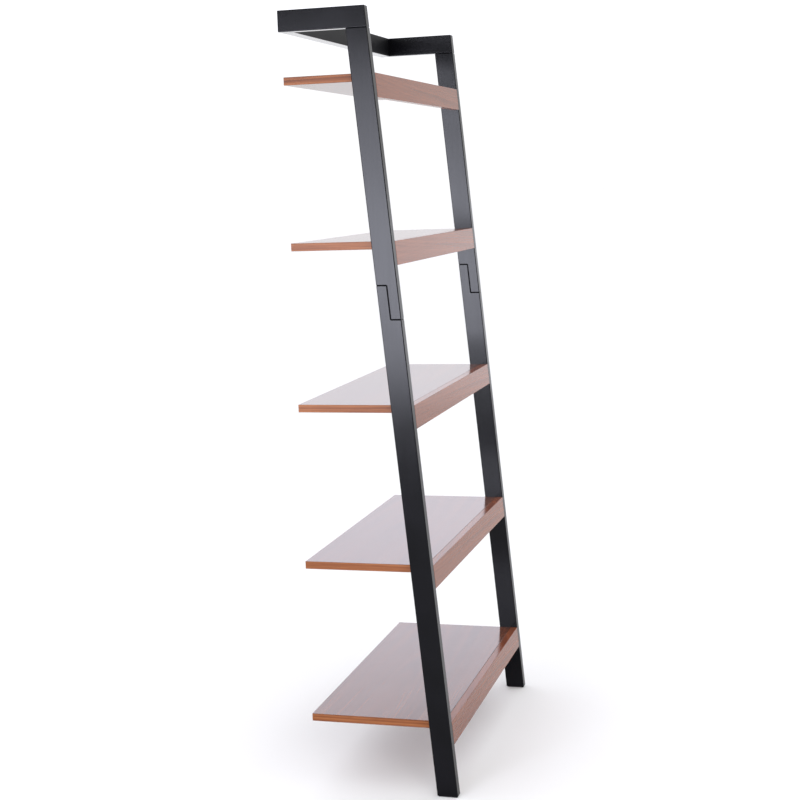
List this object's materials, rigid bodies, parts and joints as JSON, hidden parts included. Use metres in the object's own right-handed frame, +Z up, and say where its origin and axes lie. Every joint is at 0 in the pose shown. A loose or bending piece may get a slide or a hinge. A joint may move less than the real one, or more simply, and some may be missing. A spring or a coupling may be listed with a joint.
{
  "type": "ladder shelf",
  "caption": "Leaning ladder shelf whose dark lacquered uprights tilt back to a wall under level arms and a crossbar, with thin wood shelves that deepen towards the floor.",
  "frame": {"origin": "on the floor, at the middle of the width and of the depth, which runs from the front of the feet to the wall", "axes": "+Z up, +X to the right seen from the front, +Y towards the wall that the shelf leans on"},
  "size_m": [0.86, 0.3756, 1.9],
  "materials": {
    "black_lacquer": "semi-gloss black lacquer on solid wood",
    "cherry_wood": "glossy clear lacquer over brown stained veneer, grain along the shelf",
    "dowel_wood": "plain turned beech",
    "zinc_steel": "zinc plated",
    "cam_zinc": "die-cast zinc",
    "insert_brass": "turned brass",
    "pad_rubber": "matte anti-slip rubber"
  },
  "bodies": {
    "root": {"apron_end_dowels": "dowel_wood", "arm_dowels": "dowel_wood", "cam_bolts": "zinc_steel", "cam_locks": "cam_zinc", "crossbar_dowels": "dowel_wood", "foot_pads": "pad_rubber", "lap_bolts": "zinc_steel", "lap_inserts": "insert_brass", "lower_upright_left": "black_lacquer", "lower_upright_right": "black_lacquer", "panel_edge_dowels": "dowel_wood", "shelf_apron_1": "cherry_wood", "shelf_apron_2": "cherry_wood", "shelf_apron_3": "cherry_wood", "shelf_apron_4": "cherry_wood", "shelf_apron_5": "cherry_wood", "shelf_panel_1": "cherry_wood", "shelf_panel_2": "cherry_wood", "shelf_panel_3": "cherry_wood", "shelf_panel_4": "cherry_wood", "shelf_panel_5": "cherry_wood", "top_arm_left": "black_lacquer", "top_arm_right": "black_lacquer", "top_crossbar": "black_lacquer", "upper_upright_left": "black_lacquer", "upper_upright_right": "black_lacquer"}
  },
  "joints": []
}
